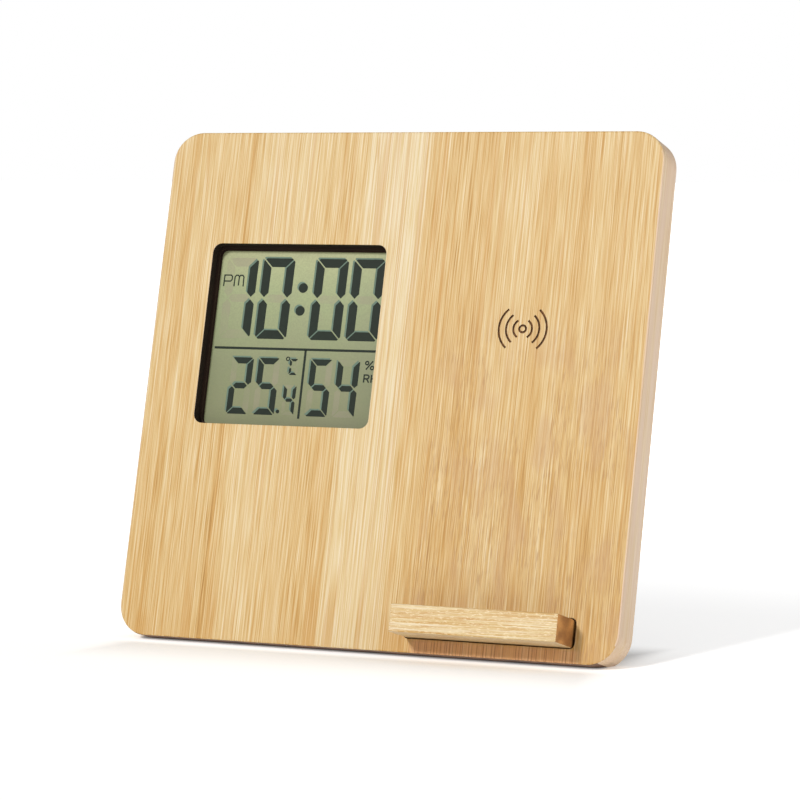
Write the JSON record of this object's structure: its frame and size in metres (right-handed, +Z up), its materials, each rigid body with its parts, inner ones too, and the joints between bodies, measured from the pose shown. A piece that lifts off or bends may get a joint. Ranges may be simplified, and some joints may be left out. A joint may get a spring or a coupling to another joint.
{
  "type": "desk weather station",
  "caption": "Leaning square bamboo panel with a recessed segment display, a wireless charging spot over a phone ledge, a battery door, push buttons and a folding rear leg.",
  "frame": {"origin": "on the floor, under the centre of the bounding box", "axes": "+X to the right seen from the front, +Y towards the rear, +Z up"},
  "size_m": [0.154, 0.0628, 0.1462],
  "materials": {
    "bamboo": "satin lacquered bamboo board, grain up the panel",
    "bamboo_cross_grain": "satin lacquered bamboo, grain along the ledge",
    "black_plastic": "fine textured black moulding",
    "grey_plastic": "smooth dark grey moulding",
    "white_plastic": "smooth white",
    "display_glass": "satin grey-green reflective display",
    "printed_film": "amber flexible film",
    "circuit_board": "green solder mask",
    "black_resin": "black potting resin",
    "ferrite": "dark grey ferrite-filled sheet",
    "copper_wire": "enamelled copper wire",
    "steel": "plain zinc-plated or nickel-plated steel",
    "rubber": "matt black rubber"
  },
  "bodies": {
    "station": {"front_panel": "bamboo", "rear_cover": "black_plastic", "cover_screw_1": "steel", "cover_screw_2": "steel", "cover_screw_3": "steel", "cover_screw_4": "steel", "cover_screw_5": "steel", "cover_screw_6": "steel", "leg_pin": "steel", "lcd_frame": "black_plastic", "lcd_cell": "display_glass", "lcd_ribbon": "printed_film", "clock_board": "circuit_board", "clock_chip": "black_resin", "humidity_sensor": "white_plastic", "battery_holder": "black_plastic", "coin_cell": "steel", "battery_contact": "steel", "unit_switch": "black_plastic", "down_switch": "black_plastic", "up_switch": "black_plastic", "mode_switch": "black_plastic", "charging_coil": "copper_wire", "ferrite_sheet": "ferrite", "charger_board": "circuit_board", "power_chip": "black_resin", "usb_socket": "steel"},
    "ledge": {"phone_ledge": "bamboo_cross_grain"},
    "leg": {"rear_leg": "bamboo", "leg_pad": "rubber"},
    "door": {"battery_door": "black_plastic"},
    "unit_key": {"unit_button": "grey_plastic"},
    "down_key": {"down_button": "grey_plastic"},
    "up_key": {"up_button": "grey_plastic"},
    "mode_key": {"mode_button": "grey_plastic"}
  },
  "joints": [
    {"name": "leg_hinge", "type": "hinge", "parent": "station", "child": "leg", "pos_m": [0.0062, 0.01099, 0.08611], "axis": [1, 0, 0], "range_deg": [-27, 0]},
    {"name": "ledge_slide", "type": "slide", "parent": "station", "child": "ledge", "axis": [0, -0.9659, 0.2588], "range_m": [0, 0.012]},
    {"name": "battery_door_hinge", "type": "hinge", "parent": "station", "child": "door", "pos_m": [-0.046, -0.0036, 0.02355], "axis": [-1, 0, 0], "range_deg": [0, 60]},
    {"name": "unit_press", "type": "slide", "parent": "station", "child": "unit_key", "axis": [0, -0.9659, 0.2588], "range_m": [0, 0.0005], "stiffness_N_per_m": 1500},
    {"name": "down_press", "type": "slide", "parent": "station", "child": "down_key", "axis": [0, -0.9659, 0.2588], "range_m": [0, 0.0005], "stiffness_N_per_m": 1500},
    {"name": "up_press", "type": "slide", "parent": "station", "child": "up_key", "axis": [0, -0.9659, 0.2588], "range_m": [0, 0.0005], "stiffness_N_per_m": 1500},
    {"name": "mode_press", "type": "slide", "parent": "station", "child": "mode_key", "axis": [0, -0.9659, 0.2588], "range_m": [0, 0.0005], "stiffness_N_per_m": 1500}
  ]
}
